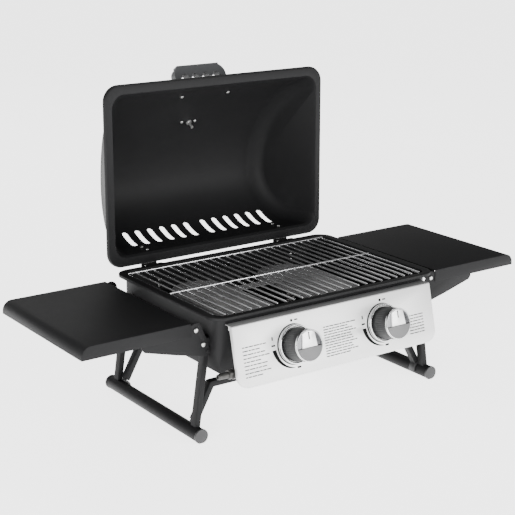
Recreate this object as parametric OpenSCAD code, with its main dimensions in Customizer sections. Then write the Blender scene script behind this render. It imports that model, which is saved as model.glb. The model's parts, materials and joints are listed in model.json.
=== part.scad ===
// Folding table-top gas grill: a pressed steel tub on two folding leg frames,
// a hinged barrel lid, two flip-up side shelves, two gas burners and a chrome wire grate.
// Frame: +Z up, +X to the right, the control panel faces -Y. Origin: on the table,
// below the centre of the tub's rim. The lid is modelled open, the shelves down.

/* [Tub] */
// Length of the tub's rim, left to right
rim_l = 500; // [490:1:510]
// Depth of the tub's rim, front to back
rim_d = 350; // [344:1:356]
// Height of the rim above the table
rim_top = 225.5; // [222:0.5:230]
// Height of the tub's floor above the table
floor_z = 116; // [112:1:120]
// Thickness of the tub and lid sheet
sheet = 1.5; // [1.2:0.1:2]

/* [Lid] */
// Height of the lid's barrel above its flange
lid_h = 151; // [140:1:156]
// Radius of the long front curve of the lid
lid_front_r = 213; // [208:1:220]
// Draft of the lid's end walls, in degrees
lid_draft = 17.5; // [14:0.5:20]
// Number of steam slots on each half of the lid's back
vents = 6; // [4:1:6]

/* [Shelves] */
// How far the shelves reach from the centre line
shelf_reach = 484.5; // [470:0.5:490]
// Front to back size of a shelf
shelf_d = 299.5; // [296:0.5:302]
// Depth of a shelf's folded edge
shelf_h = 23; // [20:1:24]

/* [Legs] */
// Diameter of a foot tube
foot_dia = 25; // [22:1:26]
// Distance of a foot tube from the centre line
foot_x = 264.5; // [260:0.5:268]
// Width of a leg post
post_w = 10.5; // [9:0.5:11]

/* [Controls] */
// Distance of each knob from the centre line
knob_x = 100; // [90:1:110]
// Knob diameter at its base
knob_dia = 60; // [54:1:60]
// How far a knob is pushed in before it turns
knob_push = 3; // [2:0.5:3]

/* [Grate] */
// Number of long wires in the grate
wires = 26; // [20:1:26]
// Diameter of a long wire
wire_dia = 3.6; // [3:0.2:4]

/* [Hidden] */

$fn = 64;
run = 0.05;        // radial play of a shaft that turns in its bore
clear = 0.3;       // gap between sheets that slide past each other
frame_y = 44.3;    // the origin's distance behind the rim's centre

// tub
rim_r = 29;        // corner radius of the rim
rim_lip = 5;       // height of the folded rim lip
tub_l = 473;       // outside length of the tub's walls
tub_d = 328;       // outside depth of the tub's walls
tub_r = 20;        // corner radius of the tub's walls
knee_z = 168;      // the walls are upright above this height
tub_taper = 9;     // how far each wall leans in below the knee
floor_r = 7;       // rounding where the walls meet the floor

// lid, in its closed position
hinge_y = 181;
hinge_z = 221;
lid_gap = 0.5;                       // the closed lid's flange over the rim
lid_z = rim_top + lid_gap;
lid_d = rim_d - 3;
lid_back = rim_d / 2;                // back edge of the lid's flange
lid_mid_y = lid_back - lid_d / 2;
lid_wall_x = 237;                    // half length of the lid's wall at its flange
lid_lip = 9;
barrel_back = lid_back - 19;         // upright back wall of the barrel
barrel_y = 48;                       // where the barrel is highest
barrel_back_r = barrel_back - barrel_y;
barrel_back_h = lid_h - barrel_back_r;
barrel_front_h = lid_h - lid_front_r;
vent_first_x = 20;
vent_pitch = 28.4;
vent_w = 12;
vent_low = 54;
vent_high = 102;

// hinges
hinge_x = 157;
hinge_w = 34;
pin_r = 2;
knuckle_r = 4;
leaf = 2;

// panel
panel_l = 446;
panel_h = 108.6;
panel_top_y = -183.9;
panel_top_z = 211;
panel_tilt = 13.4;
panel_r = 22;
panel_sheet = 1.2;
panel_lip = 8;
knob_drop = 52.6;                    // knob axis below the panel's top fold
stem_r = 3;
collar_r = 4.5;
manifold_y = -184;
manifold_z = 128;
manifold_r = 6;
jet_z = 156;
inlet_tip = -252;
tail_r = 5.5;                        // plain part of the hose tail

// burners
burner_r = 11;
burner_z = 156;
burner_len = 296;
plate_top = 197;
plate_flat = 16;                     // half width of a heat plate's flat top
plate_half = 58;
plate_edge = 184;
plate_low = 175;
plate_front = -148;
plate_back = 156;

// brackets and shelves
gusset_t = 2;
front_y = -142.4;                    // outer face of a shelf's front edge
back_y = front_y + shelf_d;
shelf_sheet = 1.2;
gusset_front = front_y + shelf_sheet + clear;
gusset_back = back_y - shelf_sheet - clear;
shelf_pivot_x = 266.5;
shelf_pivot_z = 202.2;
shelf_top = 216;
shelf_in = 277;
shelf_nose_r = 18;
shelf_pin_r = 2.5;
tab_r = 10;
rail_in = tub_l / 2 + 0.4;
rail_out = 257;
rail_low = 168.5;
rail_high = 183;
gusset_screw_x = 252;
gusset_screw_z = 174;

// legs and braces
leg_pivot_x = 243;
leg_pivot_z = 160.5;
foot_z = foot_dia / 2;
foot_front = -152.5;
foot_back = 167;
cap_r = foot_dia / 2 + 0.7;          // foot cap, flat where it meets the table
cap_t = 4;
post_d = 15;
post_front = -136.8;
post_back = 135;
leg_drop = leg_pivot_z - foot_z;
leg_lean = atan((foot_x - leg_pivot_x) / leg_drop);
leg_len = sqrt(pow(foot_x - leg_pivot_x, 2) + pow(leg_drop, 2));
leg_pin_r = 2.5;
brace_x = 222;
brace_z = 89;
brace_t = 11;
brace_d = 15;
brace_front = -121.4;
brace_back = 119.5;
pad_gap = 0.4;

// grate
grate_x = 230;
grate_z = 221.2;
grate_front = -149;
grate_back = 160;
cross_y = [2, 152];
cross_r = 1.5;
cross_half = 231;

// grease tray
tray_l = 180;
tray_d = 200;
tray_z = 98;

// thermometer and handle, measured up the front curve of the lid from its top
gauge_turn = 33;
handle_turn = 57.5;
handle_w = 118;
handle_h = 61;
handle_t = 16;
grip_low = 35;

black = [0.09, 0.09, 0.1];
steel = [0.82, 0.82, 0.8];
chrome = [0.9, 0.9, 0.92];
grey = [0.32, 0.33, 0.34];

module rrect(l, d, r) {
    square([l - 2 * r, d], center = true);
    square([l, d - 2 * r], center = true);
    for (i = [-1, 1], j = [-1, 1])
        translate([i * (l / 2 - r), j * (d / 2 - r)]) circle(r);
}

module rblock(l, d, r, h) {
    linear_extrude(h) rrect(l, d, r);
}

// moves a piece from the rim's centre to the frame's origin
module in_frame() {
    translate([0, -frame_y, 0]) children();
}

// mirrors a right-hand piece to the left when side is -1
module on_side(side) {
    if (side < 0) mirror([1, 0, 0]) children();
    else children();
}

// a cylinder along +Y from y0 to y1
module rod_y(r, y0, y1) {
    translate([0, y1, 0]) rotate([90, 0, 0]) cylinder(r = r, h = y1 - y0);
}

// a profile drawn in X and Z, drawn out along Y from y0 to y1
module along_y(y0, y1) {
    translate([0, y1, 0]) rotate([90, 0, 0]) linear_extrude(y1 - y0) children();
}

// a pan-head screw that points along -Z, its head on +Z
module screw(head_r, head_h, shank_r, shank) {
    rotate_extrude() {
        polygon([[0, -shank], [shank_r, -shank], [shank_r, 0], [head_r, 0], [head_r, head_h * 0.45],
            [head_r * 0.72, head_h * 0.85], [head_r * 0.3, head_h], [0, head_h]]);
    }
}

// ---- tub ----
// section of the tub's walls across one direction, rounded where they meet the floor
module tub_section(half, low, top) {
    foot = half - tub_taper;
    polygon([[-half, top], [-half, knee_z], [-foot, low + floor_r], [foot, low + floor_r],
        [half, knee_z], [half, top]]);
    translate([-foot + floor_r, low]) square([2 * (foot - floor_r), floor_r + 1]);
    for (i = [-1, 1]) translate([i * (foot - floor_r), low + floor_r]) circle(floor_r);
}

module tub_form(inset, top) {
    intersection() {
        rblock(tub_l - 2 * inset, tub_d - 2 * inset, tub_r - inset, top);
        along_y(-rim_d, rim_d) tub_section(tub_l / 2 - inset, floor_z + inset, top);
        translate([-rim_l, 0, 0]) rotate([90, 0, 90]) linear_extrude(2 * rim_l)
            tub_section(tub_d / 2 - inset, floor_z + inset, top);
    }
}

module tub() {
    color(black) in_frame() difference() {
        union() {
            tub_form(0, rim_top - 1);
            translate([0, 0, rim_top - sheet]) rblock(rim_l, rim_d, rim_r, sheet);
            translate([0, 0, rim_top - rim_lip]) difference() {
                rblock(rim_l, rim_d, rim_r, rim_lip);
                translate([0, 0, -1])
                    rblock(rim_l - 2 * sheet, rim_d - 2 * sheet, rim_r - sheet, rim_lip);
            }
        }
        tub_form(sheet, rim_top + 1);
        for (x = [-knob_x, knob_x])
            translate([x, 0, burner_z]) rod_y(burner_r + 1.2, -tub_d / 2 - 5, -tub_d / 2 + 25);
        for (x = [-180:45:180], y = [-70, 70])
            translate([x, y, floor_z - 1]) rblock(10, 60, 4, 5);
        translate([0, 0, floor_z - 1]) cylinder(r = 12, h = 5);
        for (x = [-hinge_x, hinge_x], z = [186, 197])
            translate([x, 0, z]) rod_y(2, tub_d / 2 - 10, tub_d / 2 + 5);
        for (x = [-160, 0, 160])
            translate([x, 0, 204]) rod_y(2, -tub_d / 2 - 5, -tub_d / 2 + 10);
    }
}

module grate_rests() {
    color(black) in_frame() for (s = [-1, 1]) on_side(s) {
        translate([tub_l / 2 - sheet - 9, -100, grate_z - wire_dia / 2 - 1.4]) cube([9, 200, 1.2]);
        translate([tub_l / 2 - sheet - 1.2, -100, grate_z - wire_dia / 2 - 12]) cube([1.2, 200, 10.6]);
    }
}

// ---- burners ----
// section of a heat plate: a flat top, sloping sides and short upright edges
module plate_section(inset) {
    foot = plate_half - inset;
    polygon([[-foot, plate_low - (inset > 0 ? 1 : 0)], [foot, plate_low - (inset > 0 ? 1 : 0)],
        [foot, plate_edge - inset], [plate_flat, plate_top - inset],
        [-plate_flat, plate_top - inset], [-foot, plate_edge - inset]]);
}

// a folded steel cover over a burner, round at its back end, with slotted sloping sides
module heat_plate(s) {
    end_y = plate_back - plate_half;
    slope = atan((plate_top - plate_edge) / (plate_half - plate_flat));
    slot_x = plate_half - 8.5;
    color(steel) in_frame() translate([s * knob_x, 0, 0]) difference() {
        union() {
            along_y(plate_front, end_y) plate_section(0);
            translate([0, end_y, 0]) rotate_extrude(angle = 180) half_section(0);
        }
        along_y(plate_front - 1, end_y) plate_section(1);
        translate([0, end_y, 0]) rotate_extrude(angle = 180) half_section(1);
        for (y = [-61:6.2:50], i = [-1, 1])
            translate([i * slot_x, y, plate_top - (slot_x - plate_flat) * tan(slope)])
                rotate([0, i * slope, 0]) cube([11, 2.8, 6], center = true);
    }
}

module half_section(inset) {
    intersection() {
        plate_section(inset);
        translate([0, plate_low - 2]) square([plate_half, 60]);
    }
}

module heat_plate_left() { heat_plate(-1); }
module heat_plate_right() { heat_plate(1); }

module heat_plate_bridge() {
    span = knob_x - plate_half;
    color(steel) in_frame() translate([-span, 50, plate_edge]) cube([2 * span, 25, 1.2]);
}

// a steel tube burner with ports along its top, closed at the back, open at the front
module burner(s) {
    ports = 12;
    color(grey) in_frame() translate([s * knob_x, 0, burner_z]) difference() {
        union() {
            rod_y(burner_r, -tub_d / 2 - 2, -tub_d / 2 + burner_len);
            translate([-9, -tub_d / 2 + burner_len, -6]) cube([18, 16.5, 2]);
            translate([-9, 85, -38.4]) cube([18, 2, 30]);
        }
        rod_y(burner_r - 1, -tub_d / 2 - 3, -tub_d / 2 + burner_len - 1.5);
        for (i = [0:ports - 1], a = [-35, 35])
            translate([0, -90 + i * 18, 0]) rotate([0, a, 0]) cylinder(r = 1.5, h = burner_r + 1);
    }
}

module burner_left() { burner(-1); }
module burner_right() { burner(1); }

module spark_electrodes() {
    color("white") in_frame() for (s = [-1, 1])
        translate([s * knob_x + 20, -60, burner_z - 38.2]) {
            cylinder(r = 3, h = 34);
            cylinder(r = 1, h = 45);
        }
}

// ---- gas train ----
module on_panel(x = 0, y = 0) {
    translate([0, panel_top_y, panel_top_z]) rotate([90 - panel_tilt, 0, 0])
        translate([x, y, 0]) children();
}

module valve(s) {
    jet_y = -181;
    color("goldenrod") in_frame() difference() {
        union() {
            on_panel(s * knob_x, -knob_drop) {
                translate([0, 0, -24]) cylinder(r = 10, h = 21);
                translate([-18, -8, -4]) cube([36, 16, 4 - panel_sheet]);
            }
            translate([s * knob_x, 0, jet_z]) rod_y(4, jet_y, -tub_d / 2 + 6);
            translate([s * knob_x, manifold_y, manifold_z]) cylinder(r = 5, h = 24);
        }
        on_panel(s * knob_x, -knob_drop) {
            translate([0, 0, -22]) cylinder(r = stem_r + 0.2, h = 30);
            translate([0, 0, -10.5 - knob_push]) cylinder(r = collar_r + run, h = 20);
            for (i = [-1, 1]) translate([i * 13, 0, -10]) cylinder(r = 1.6, h = 20);
        }
        translate([s * knob_x - 10, manifold_y, manifold_z]) rotate([0, 90, 0])
            cylinder(r = manifold_r, h = 20);
        translate([s * knob_x, 0, jet_z]) rod_y(0.6, -172, 0);
    }
}

module valve_left() { valve(-1); }
module valve_right() { valve(1); }

module gas_manifold() {
    color(steel) in_frame() translate([inlet_tip + 40, manifold_y, manifold_z])
        rotate([0, 90, 0]) difference() {
        cylinder(r = manifold_r, h = 330);
        translate([0, 0, -1]) cylinder(r = manifold_r - 1.2, h = 325);
    }
}

// hose tail with two hexagon nuts, on the left end of the manifold
module gas_inlet() {
    barbs = 2;
    color(grey) in_frame() translate([inlet_tip, manifold_y, manifold_z]) rotate([0, 90, 0]) difference() {
        union() {
            for (i = [0:barbs - 1]) translate([0, 0, i * 4])
                cylinder(r1 = tail_r - 1, r2 = tail_r - 0.1, h = 4);
            translate([0, 0, barbs * 4]) cylinder(r = tail_r, h = 22 - barbs * 4);
            translate([0, 0, 21]) cylinder(r = 9, h = 7, $fn = 6);
            translate([0, 0, 28]) cylinder(r = 7, h = 2);
            translate([0, 0, 29.5]) cylinder(r = 10.5, h = 10.5, $fn = 6);
        }
        translate([0, 0, -1]) cylinder(r = 3.2, h = 60);
    }
}

// outline of the panel's face, with round lower corners
module panel_outline(inset) {
    half = panel_l / 2 - inset;
    r = panel_r - inset;
    translate([-half, -panel_h + panel_r]) square([2 * half, panel_h - panel_r + (inset > 0 ? 5 : 0)]);
    translate([-half + r, -panel_h + inset]) square([2 * (half - r), panel_h / 2]);
    for (i = [-1, 1]) translate([i * (half - r), -panel_h + panel_r]) circle(r);
}

module control_panel() {
    flange_y = panel_top_y + 0.4;
    flange_back = -tub_d / 2 - 0.4;
    color(steel) in_frame() difference() {
        union() {
            on_panel() translate([0, 0, -panel_lip]) difference() {
                linear_extrude(panel_lip) panel_outline(0);
                translate([0, 0, -1]) linear_extrude(panel_lip + 1 - panel_sheet)
                    panel_outline(panel_sheet);
            }
            translate([-panel_l / 2 + 0.1, flange_y, panel_top_z - panel_sheet])
                cube([panel_l - 0.2, flange_back - flange_y, panel_sheet]);
            for (i = [0, 1]) mirror([i, 0, 0])
                translate([panel_l / 2 - panel_sheet - 0.2, flange_y + 1, panel_top_z - panel_lip])
                    cube([panel_sheet, flange_back - flange_y - 10, panel_lip - 0.1]);
            translate([-panel_l / 2 + 30, flange_back - panel_sheet, panel_top_z - 16])
                cube([panel_l - 60, panel_sheet, 16]);
        }
        for (x = [-knob_x, knob_x]) on_panel(x, -knob_drop) {
            translate([0, 0, -5]) cylinder(r = 6, h = 10);
            for (i = [-1, 1]) translate([i * 13, 0, -5]) cylinder(r = 1.6, h = 10);
        }
        for (x = [-160, 0, 160])
            translate([x, 0, 204]) rod_y(2, -tub_d / 2 - 8, -tub_d / 2 + 2);
    }
}

module panel_screws() {
    color(steel) in_frame() for (x = [-160, 0, 160])
        translate([x, -tub_d / 2 + sheet, 204]) rotate([-90, 0, 0]) screw(4, 2.5, 1.95, 5);
}

module valve_screws() {
    color(steel) in_frame() for (x = [-knob_x, knob_x], i = [-1, 1])
        on_panel(x + i * 13, -knob_drop) screw(3, 1.8, 1.55, 6);
}

module knob_bezels() {
    color(chrome) in_frame() for (x = [-knob_x, knob_x]) on_panel(x, -knob_drop) rotate_extrude() {
        polygon([[31.2, 0], [35, 0], [35, 5.5], [33.1, 9], [31.2, 9]]);
        translate([33.1, 7.1]) circle(1.9);
    }
}

// ---- side brackets ----
// a box rail along the tub's side, which the gussets are screwed to
module side_rail(s) {
    color(black) in_frame() on_side(s) difference() {
        translate([rail_in, gusset_front + gusset_t, rail_low])
            cube([rail_out - rail_in, gusset_back - gusset_front - 2 * gusset_t, rail_high - rail_low]);
        translate([rail_in + 1.5, gusset_front + gusset_t + 6, rail_low + 1.5])
            cube([rail_out - rail_in - 3, gusset_back - gusset_front - 2 * gusset_t - 12,
                rail_high - rail_low - 3]);
        for (y = [gusset_front + gusset_t - 1, gusset_back - gusset_t - 14])
            translate([gusset_screw_x, 0, gusset_screw_z]) rod_y(1.9, y, y + 15);
    }
}

module side_rail_left() { side_rail(-1); }
module side_rail_right() { side_rail(1); }

// one gusset plate in X and Z: an ear round the shelf pivot, an arm under the shelf
module gusset_outline() {
    arm_end = 372;
    polygon([[239, 160.5], [243, gusset_screw_z], [245.5, 184], [254, shelf_pivot_z],
        [shelf_pivot_x, shelf_pivot_z + 8], [278.6, shelf_pivot_z + 10.6],
        [278.6, shelf_top - shelf_sheet - 0.2],
        [arm_end, shelf_top - shelf_sheet - 0.2], [arm_end, 188], [367, 182.4],
        [306, 165.6], [249, 152]]);
    translate([shelf_pivot_x, shelf_pivot_z]) circle(12.5);
    translate([gusset_screw_x, gusset_screw_z]) circle(9);
    translate([247.5, 160.5]) circle(8.5);
}

module gussets(s) {
    color(black) in_frame() on_side(s) difference() {
        for (y = [gusset_front, gusset_back - gusset_t]) along_y(y, y + gusset_t) gusset_outline();
        for (y = [gusset_front - 1, gusset_back - gusset_t - 1]) {
            translate([shelf_pivot_x, 0, shelf_pivot_z]) rod_y(shelf_pin_r, y, y + gusset_t + 2);
            translate([leg_pivot_x, 0, leg_pivot_z]) rod_y(leg_pin_r, y, y + gusset_t + 2);
            translate([gusset_screw_x, 0, gusset_screw_z]) rod_y(1.95, y, y + gusset_t + 2);
        }
    }
}

module gussets_left() { gussets(-1); }
module gussets_right() { gussets(1); }

// places a front screw and its mirrored twin at the back of a side bracket
module front_and_back(x, z, front, back) {
    translate([x, front, z]) rotate([90, 0, 0]) children();
    translate([x, back, z]) rotate([-90, 0, 0]) children();
}

module gusset_screws() {
    color(steel) in_frame() for (s = [-1, 1]) on_side(s)
        front_and_back(gusset_screw_x, gusset_screw_z, gusset_front, gusset_back)
            screw(4.3, 3, 1.9, gusset_t + 5.5);
}

module shelf_pivot_screws() {
    color(steel) in_frame() for (s = [-1, 1]) on_side(s)
        front_and_back(shelf_pivot_x, shelf_pivot_z, gusset_front, gusset_back)
            screw(4.3, 3, shelf_pin_r, 7);
}

module leg_pivot_pins() {
    color(grey) in_frame() for (s = [-1, 1]) on_side(s)
        translate([leg_pivot_x, 0, leg_pivot_z]) {
            rod_y(leg_pin_r, gusset_front - 0.8, post_front + post_d + 2);
            rod_y(3.4, gusset_front - 1.6, gusset_front);
            rod_y(3.6, gusset_front + gusset_t, post_front - clear);
            rod_y(leg_pin_r, post_back - 2, gusset_back + 0.8);
            rod_y(3.4, gusset_back, gusset_back + 1.6);
            rod_y(3.6, post_back + post_d + clear, gusset_back - gusset_t);
        }
}

// ---- hinges ----
module hinge_row(x0, x1) {
    for (x = [-hinge_x, hinge_x]) translate([x + x0, hinge_y, hinge_z]) rotate([0, 90, 0])
        difference() {
            cylinder(r = knuckle_r, h = x1 - x0);
            translate([0, 0, -1]) cylinder(r = pin_r + run, h = x1 - x0 + 2);
        }
}

module lower_hinges() {
    wall = tub_d / 2 + 0.1;
    lip = 12.2;
    color(black) in_frame() {
        hinge_row(-lip, lip);
        difference() {
            union() for (x = [-hinge_x, hinge_x]) {
                translate([x - hinge_w / 2, wall, 180]) cube([hinge_w, leaf, 26]);
                translate([x - lip, wall, 204]) cube([2 * lip, hinge_y + knuckle_r - wall, leaf]);
                translate([x - lip, hinge_y + knuckle_r - leaf, 204])
                    cube([2 * lip, leaf, hinge_z - 204]);
            }
            for (x = [-hinge_x, hinge_x]) {
                translate([x - hinge_w, hinge_y, hinge_z]) rotate([0, 90, 0])
                    cylinder(r = pin_r + run, h = 2 * hinge_w);
                for (z = [186, 197]) translate([x, 0, z]) rod_y(2, wall - 2, wall + 5);
            }
        }
    }
}

module lower_hinge_screws() {
    color(steel) in_frame() for (x = [-hinge_x, hinge_x], z = [186, 197])
        translate([x, tub_d / 2 - sheet, z]) rotate([90, 0, 0]) screw(3.6, 2.4, 1.9, 5);
}

// ---- lid: drawn closed, then opened about the hinge ----
module opened() {
    translate([0, hinge_y, hinge_z]) rotate([-90, 0, 0]) translate([0, -hinge_y, -hinge_z])
        children();
}

// side view of the barrel in Y and height above the flange
module barrel_side(inset) {
    intersection() {
        translate([barrel_y, barrel_back_h]) circle(barrel_back_r - inset, $fn = 128);
        translate([barrel_y, barrel_back_h]) square([300, 300]);
    }
    translate([barrel_y - 0.1, -1]) square([barrel_back_r - inset + 0.1, barrel_back_h + 1.1]);
    intersection() {
        translate([barrel_y, barrel_front_h]) circle(lid_front_r - inset, $fn = 128);
        translate([barrel_y - 300, -1]) square([300.1, 300]);
    }
}

module barrel(inset) {
    low = lid_wall_x - inset;
    high = low - (lid_h + 9) * tan(lid_draft);
    intersection() {
        translate([-rim_l, 0, lid_z]) rotate([90, 0, 90]) linear_extrude(2 * rim_l)
            barrel_side(inset);
        along_y(-rim_d, rim_d) translate([0, lid_z])
            polygon([[-low - 1 * tan(lid_draft), -1], [low + 1 * tan(lid_draft), -1],
                [high, lid_h + 9], [-high, lid_h + 9]]);
        translate([0, lid_mid_y, lid_z - 2])
            rblock(2 * low + 2, lid_d - 32 - 2 * inset, 24 - inset, lid_h + 20);
    }
}

module lid_shell() {
    color(black) in_frame() opened() difference() {
        union() {
            barrel(0);
            translate([0, lid_mid_y, lid_z]) rblock(rim_l, lid_d, rim_r, sheet);
            translate([0, lid_mid_y, lid_z]) difference() {
                rblock(rim_l, lid_d, rim_r, lid_lip);
                translate([0, 0, -1]) rblock(rim_l - 2 * sheet, lid_d - 2 * sheet, rim_r - sheet, 20);
            }
        }
        barrel(sheet);
        translate([-rim_l, -rim_d, lid_z - 10]) cube([2 * rim_l, 2 * rim_d, 10]);
        for (s = [-1, 1], i = [0:vents - 1])
            translate([s * (vent_first_x + vent_pitch * i), 60, lid_z]) {
                translate([-vent_w / 2, 0, vent_low + vent_w / 2])
                    cube([vent_w, 120, vent_high - vent_low - vent_w]);
                for (h = [vent_low + vent_w / 2, vent_high - vent_w / 2])
                    translate([0, 0, h]) rod_y(vent_w / 2, 0, 120);
            }
        for (x = [-hinge_x, hinge_x], h = [20, 41])
            translate([x, 0, lid_z + h]) rod_y(2, barrel_back - 10, barrel_back + 5);
        on_curve(gauge_turn) for (x = [-15.5, 15.5]) translate([x, 0, -5]) cylinder(r = 2, h = 10);
        on_curve(gauge_turn) translate([0, 0, -5]) cylinder(r = 5, h = 10);
        on_curve(handle_turn) for (x = [-54, 54]) translate([x, 0, -5]) cylinder(r = 2.2, h = 10);
    }
}

// a point on the outside of the front curve, with +Z pointing out of the lid
module on_curve(turn) {
    translate([0, barrel_y, lid_z + barrel_front_h]) rotate([turn, 0, 0])
        translate([0, 0, lid_front_r]) children();
}

module upper_hinges() {
    color(black) in_frame() opened() {
        difference() {
            union() {
                hinge_row(-hinge_w / 2, -12.5);
                hinge_row(12.5, hinge_w / 2);
                for (x = [-hinge_x, hinge_x]) translate([x - hinge_w / 2, 0, 0]) {
                    translate([0, barrel_back + 0.1, lid_z + 13]) cube([hinge_w, leaf, 37]);
                    translate([0, barrel_back + 0.1, lid_z + 13])
                        cube([hinge_w, hinge_y + knuckle_r - barrel_back, leaf]);
                    for (x1 = [0, hinge_w / 2 + 12.5])
                        translate([x1, hinge_y + knuckle_r - leaf, hinge_z])
                            cube([hinge_w / 2 - 12.5, leaf, lid_z + 14 - hinge_z]);
                }
            }
            for (x = [-hinge_x, hinge_x]) {
                translate([x - hinge_w, hinge_y, hinge_z]) rotate([0, 90, 0])
                    cylinder(r = pin_r + run, h = 2 * hinge_w);
                for (h = [20, 41])
                    translate([x, 0, lid_z + h]) rod_y(2, barrel_back - 2, barrel_back + 5);
            }
        }
    }
}

module upper_hinge_screws() {
    color(steel) in_frame() opened() for (x = [-hinge_x, hinge_x], h = [20, 41])
        translate([x, barrel_back - sheet, lid_z + h]) rotate([90, 0, 0]) screw(3.8, 2.6, 1.9, 5);
}

module hinge_pins() {
    color(steel) in_frame() for (x = [-hinge_x, hinge_x])
        translate([x - hinge_w / 2 - 1, hinge_y, hinge_z]) rotate([0, 90, 0]) {
            cylinder(r = pin_r, h = hinge_w + 2);
            translate([0, 0, -1.2]) cylinder(r = 3.2, h = 1.4);
            translate([0, 0, hinge_w + 1.8]) cylinder(r = 3.2, h = 1.4);
        }
}

// an arched plastic grip on two legs, scalloped for the fingers
module lid_handle() {
    scallops = 4;
    scallop_pitch = 24;
    top_w = handle_w - 22;
    color(grey) in_frame() opened() on_curve(handle_turn) difference() {
        translate([0, handle_t / 2, 0]) rotate([90, 0, 0]) linear_extrude(handle_t) difference() {
            union() {
                translate([-handle_w / 2, 0.4]) square([handle_w, handle_h - 22]);
                translate([-top_w / 2, 0.4]) square([top_w, handle_h - 0.4]);
                for (i = [-1, 1]) translate([i * (handle_w / 2 - 22), handle_h - 22.4]) circle(22);
            }
            translate([-handle_w / 2 + 12, -1]) square([handle_w - 24, grip_low + 1]);
        }
        for (i = [0:scallops - 1])
            translate([(i - (scallops - 1) / 2) * scallop_pitch, 0, grip_low])
                rotate([90, 0, 0]) cylinder(r = 8, h = handle_t + 2, center = true);
        for (x = [-54, 54]) translate([x, 0, -1]) cylinder(r = 2, h = 14);
        translate([0, 0, -lid_front_r]) rotate([0, 90, 0])
            cylinder(r = lid_front_r + 0.4, h = 2 * rim_l, center = true, $fn = 128);
    }
}

module handle_screws() {
    color(steel) in_frame() opened() on_curve(handle_turn) for (x = [-54, 54])
        translate([x, 0, -sheet - 0.3]) rotate([180, 0, 0]) screw(4, 2.6, 1.95, 10);
}

// ---- thermometer ----
module thermometer_case() {
    color(chrome) in_frame() opened() on_curve(gauge_turn) {
        difference() {
            translate([0, 0, 1.6]) cylinder(r = 24, h = 9.4);
            translate([0, 0, 3.6]) cylinder(r = 22.4, h = 10);
            for (x = [-15.5, 15.5]) translate([x, 0, 0]) cylinder(r = 1.8, h = 20);
            translate([0, 0, -1]) cylinder(r = 3.2, h = 10);
        }
    }
}

module thermometer_dial() {
    color("white") in_frame() opened() on_curve(gauge_turn) difference() {
        translate([0, 0, 5.8]) cylinder(r = 22.2, h = 0.6);
        translate([0, 0, 5]) cylinder(r = 1.4, h = 2);
    }
}

module thermometer_needle() {
    color("red") in_frame() opened() on_curve(gauge_turn) {
        translate([0, 0, 6.6]) cylinder(r = 2.2, h = 0.8);
        translate([-0.8, -17, 6.6]) cube([1.6, 17, 0.6]);
        translate([0, 0, 5.2]) cylinder(r = 1.3, h = 2);
    }
}

module thermometer_glass() {
    color([0.8, 0.9, 0.9, 0.4]) in_frame() opened() on_curve(gauge_turn)
        translate([0, 0, 9]) cylinder(r = 22.3, h = 1.4);
}

// the stem and the nut that clamps the thermometer from inside the lid
module thermometer_nut() {
    color(steel) in_frame() opened() on_curve(gauge_turn) {
        translate([0, 0, -20]) cylinder(r = 3, h = 25);
        translate([0, 0, -sheet - 5]) cylinder(r = 6.5, h = 4.6, $fn = 6);
    }
}

module thermometer_screws() {
    color(steel) in_frame() opened() on_curve(gauge_turn) for (x = [-15.5, 15.5])
        translate([x, 0, -sheet - 0.2]) rotate([180, 0, 0]) screw(3.2, 2.2, 1.7, 6);
}

// ---- knobs ----
module push_collar(s) {
    color("goldenrod") in_frame() on_panel(s * knob_x, -knob_drop) difference() {
        translate([0, 0, -10]) cylinder(r = collar_r, h = 9.6);
        translate([0, 0, -11]) cylinder(r = stem_r + run, h = 12);
    }
}

module push_collar_left() { push_collar(-1); }
module push_collar_right() { push_collar(1); }

// a tapered plastic barrel, hollow underneath, with a hub for the stem
module knob(s) {
    base_r = knob_dia / 2;
    hollow_r = base_r - 4;
    color(grey) in_frame() on_panel(s * knob_x, -knob_drop) rotate_extrude() {
        polygon([[stem_r, 4.5], [7, 4.5], [7, 34], [hollow_r, 34], [hollow_r, 4.5], [base_r, 4.5],
            [base_r - 2, 41], [0, 41], [0, 28], [stem_r, 28]]);
    }
}

module knob_left() { knob(-1); }
module knob_right() { knob(1); }

// chrome face of a knob: a rim, a raised lower half and a bar that points up
module knob_cap(s) {
    cap_r = knob_dia / 2 - 2;
    color(chrome) in_frame() on_panel(s * knob_x, -knob_drop) {
        translate([0, 0, 41]) cylinder(r = cap_r, h = 2.5);
        translate([0, 0, 43.5]) linear_extrude(2.5) difference() {
            circle(cap_r);
            circle(cap_r - 2);
        }
        translate([0, 0, 43.5]) linear_extrude(4) intersection() {
            circle(cap_r - 1.9);
            translate([-cap_r, -2 * cap_r]) square([2 * cap_r, 2 * cap_r - 3]);
        }
        translate([0, 0, 43.5]) linear_extrude(2.9) intersection() {
            circle(cap_r - 1.9);
            polygon([[-16, -4], [16, -4], [12, cap_r], [-12, cap_r]]);
        }
    }
}

module knob_cap_left() { knob_cap(-1); }
module knob_cap_right() { knob_cap(1); }

module valve_stem(s) {
    color(steel) in_frame() on_panel(s * knob_x, -knob_drop)
        translate([0, 0, -18]) cylinder(r = stem_r, h = 46);
}

module valve_stem_left() { valve_stem(-1); }
module valve_stem_right() { valve_stem(1); }

// ---- base ----
// a bar under the tub with a leg down to each foot tube
module base_brace(y0) {
    color(black) in_frame() difference() {
        along_y(y0, y0 + brace_d) for (i = [0, 1]) mirror([i, 0]) {
            translate([-0.1, brace_z - brace_t / 2]) square([brace_x + 0.1, brace_t]);
            translate([brace_x, brace_z]) circle(brace_t / 2);
            translate([brace_x, brace_z]) rotate(-atan((brace_z - foot_z) / (foot_x - brace_x)))
                translate([0, -brace_t / 2]) square([70, brace_t]);
        }
        for (x = [-foot_x, foot_x])
            translate([x, 0, foot_z]) rod_y(foot_dia / 2 + pad_gap + 4, y0 - 1, y0 + brace_d + 1);
    }
}

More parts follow.
